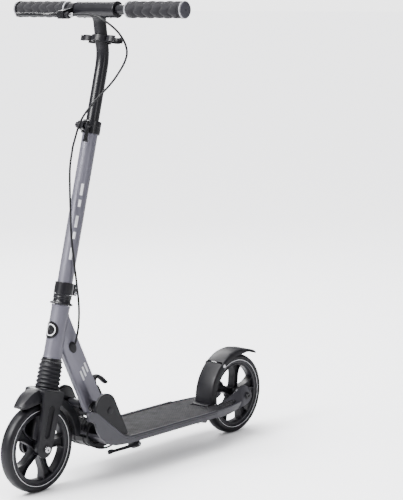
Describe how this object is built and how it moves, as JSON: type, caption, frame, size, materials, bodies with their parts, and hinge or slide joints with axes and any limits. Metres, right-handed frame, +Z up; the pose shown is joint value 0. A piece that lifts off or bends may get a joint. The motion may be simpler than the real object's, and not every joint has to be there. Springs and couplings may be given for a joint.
{
  "type": "folding kick scooter",
  "caption": "Folding kick scooter with a flat ribbed deck, large wheels, sprung fork, telescopic stem, pull-out foam grips, hand brake, fender brake and kickstand.",
  "frame": {"origin": "on the ground, midway between the two axles on the middle plane", "axes": "+Z up, +X towards the rear wheel, -Y towards the rider's left"},
  "size_m": [0.88, 0.5126, 1.0744],
  "materials": {
    "frame_grey": "satin blue-grey paint",
    "deck_alloy": "satin grey paint on aluminium",
    "black_alloy": "satin black",
    "black_plastic": "fine textured black",
    "grip_rubber": "matt foam rubber",
    "tyre_rubber": "matt urethane",
    "wheel_grey": "moulded charcoal",
    "mat_black": "ribbed anti-slip sheet",
    "steel": "bright",
    "cap_grey": "satin",
    "cable_black": "smooth outer cable"
  },
  "bodies": {
    "deck": {"deck_platform": "deck_alloy", "deck_grip_mat": "mat_black", "fold_cheek_cover_left": "black_plastic", "fold_cheek_cover_right": "black_plastic", "fold_bracket": "black_alloy", "fold_pivot_pin": "steel", "hinge_underside_cover": "black_plastic", "brake_cable_under": "cable_black", "rear_axle_bolt": "steel", "rear_fender_base": "black_plastic", "fender_hinge_pin": "steel"},
    "frame": {"main_frame": "frame_grey", "headset_lower_cup": "black_alloy", "head_badge": "cap_grey", "cable_grommet": "black_plastic", "fold_hinge_barrel": "black_alloy"},
    "fold_release": {"fold_release_lever": "black_plastic"},
    "steering": {"steerer_tube": "steel", "lower_stem_tube": "frame_grey", "stem_clamp_collar": "black_alloy", "collar_bolt_lower": "steel", "collar_bolt_upper": "steel", "headset_ring": "black_alloy", "quick_clamp": "black_alloy", "quick_release_skewer": "black_alloy", "brake_cable_lower": "cable_black", "suspension_bellows": "black_plastic", "suspension_spring": "steel"},
    "quick_release": {"quick_release_lever": "black_alloy"},
    "fork": {"fork_crown_and_legs": "black_alloy", "fork_cover_left": "black_plastic", "fork_cover_right": "black_plastic", "front_fender": "black_plastic", "front_axle_bolt": "steel"},
    "front_wheel": {"front_tyre": "tyre_rubber", "front_wheel_core": "wheel_grey", "front_bearing_left": "steel", "front_bearing_right": "steel"},
    "handlebar": {"upper_tube_and_tee": "black_alloy", "grip_clip_bracket": "black_plastic", "brake_cable_upper": "cable_black"},
    "left_handle": {"handle_tube_left": "black_alloy", "grip_left": "grip_rubber", "grip_cap_left": "cap_grey"},
    "right_handle": {"handle_tube_right": "black_alloy", "grip_right": "grip_rubber", "grip_cap_right": "cap_grey", "brake_perch": "black_plastic", "brake_lever_pin": "steel", "barrel_adjuster": "steel"},
    "left_button": {"handle_button_left": "steel"},
    "right_button": {"handle_button_right": "steel"},
    "hand_brake": {"brake_lever": "black_alloy"},
    "rear_wheel": {"rear_tyre": "tyre_rubber", "rear_wheel_core": "wheel_grey", "rear_bearing_left": "steel", "rear_bearing_right": "steel"},
    "fender_pedal": {"rear_fender_pedal": "black_plastic"},
    "rear_brake": {"rear_brake_arm": "steel"},
    "kickstand": {"kickstand_leg": "black_alloy"}
  },
  "joints": [
    {"name": "fold", "type": "hinge", "parent": "deck", "child": "frame", "pos_m": [-0.177, 0, 0.163], "axis": [0, 1, 0], "range_deg": [0, 76], "deforming": ["brake_cable_under"]},
    {"name": "fold_release_pull", "type": "hinge", "parent": "frame", "child": "fold_release", "pos_m": [-0.14337, 0, 0.18205], "axis": [0, 1, 0], "range_deg": [0, 20], "stiffness_Nm_per_rad": 0.5, "springref_deg": -8.59},
    {"name": "steer", "type": "hinge", "parent": "frame", "child": "steering", "pos_m": [-0.34, 0, 0.1], "axis": [0.2484, 0, 0.9687], "range_deg": [-60, 60], "deforming": ["brake_cable_lower"]},
    {"name": "suspension", "type": "slide", "parent": "steering", "child": "fork", "axis": [0.2484, 0, 0.9687], "range_m": [0, 0.012], "stiffness_N_per_m": 8000, "springref_m": -0.01, "deforming": ["suspension_spring", "suspension_bellows"]},
    {"name": "front_wheel_spin", "type": "hinge", "parent": "fork", "child": "front_wheel", "pos_m": [-0.34, 0, 0.1], "axis": [0, 1, 0], "continuous": true},
    {"name": "quick_release_open", "type": "hinge", "parent": "steering", "child": "quick_release", "pos_m": [-0.18881, -0.0148, 0.80246], "axis": [-0.9687, 0, 0.2484], "range_deg": [0, 90]},
    {"name": "bar_height", "type": "slide", "parent": "steering", "child": "handlebar", "axis": [0.2484, 0, 0.9687], "range_m": [-0.11, 0], "deforming": ["brake_cable_upper"]},
    {"name": "left_handle_pull", "type": "slide", "parent": "handlebar", "child": "left_handle", "axis": [0, -1, 0], "range_m": [0, 0.045]},
    {"name": "right_handle_pull", "type": "slide", "parent": "handlebar", "child": "right_handle", "axis": [0, 1, 0], "range_m": [0, 0.045], "deforming": ["brake_cable_upper"]},
    {"name": "left_button_press", "type": "slide", "parent": "handlebar", "child": "left_button", "axis": [0.2484, 0, 0.9687], "range_m": [0, 0.0018], "stiffness_N_per_m": 400, "springref_m": -0.002},
    {"name": "right_button_press", "type": "slide", "parent": "handlebar", "child": "right_button", "axis": [0.2484, 0, 0.9687], "range_m": [0, 0.0018], "stiffness_N_per_m": 400, "springref_m": -0.002},
    {"name": "hand_brake_pull", "type": "hinge", "parent": "right_handle", "child": "hand_brake", "pos_m": [-0.17236, 0.076, 1.04336], "axis": [0, 0, -1], "range_deg": [0, 12], "stiffness_Nm_per_rad": 1, "springref_deg": -8.59},
    {"name": "rear_wheel_spin", "type": "hinge", "parent": "deck", "child": "rear_wheel", "pos_m": [0.34, 0, 0.1], "axis": [0, 1, 0], "continuous": true},
    {"name": "fender_brake_press", "type": "hinge", "parent": "deck", "child": "fender_pedal", "pos_m": [0.2743, 0, 0.18319], "axis": [0, 1, 0], "range_deg": [0, 6], "stiffness_Nm_per_rad": 8, "springref_deg": -5.73},
    {"name": "rear_brake_swing", "type": "hinge", "parent": "deck", "child": "rear_brake", "pos_m": [0.221, 0, 0.056], "axis": [0, 1, 0], "range_deg": [0, 8.4]},
    {"name": "kickstand_swing", "type": "hinge", "parent": "deck", "child": "kickstand", "pos_m": [-0.084, -0.066, 0.066], "axis": [0, -0.9068, 0.4215], "range_deg": [0, 40]}
  ],
  "couplings": [
    {"joint": "rear_brake_swing", "follows": "hand_brake_pull", "ratio": 0.7}
  ]
}
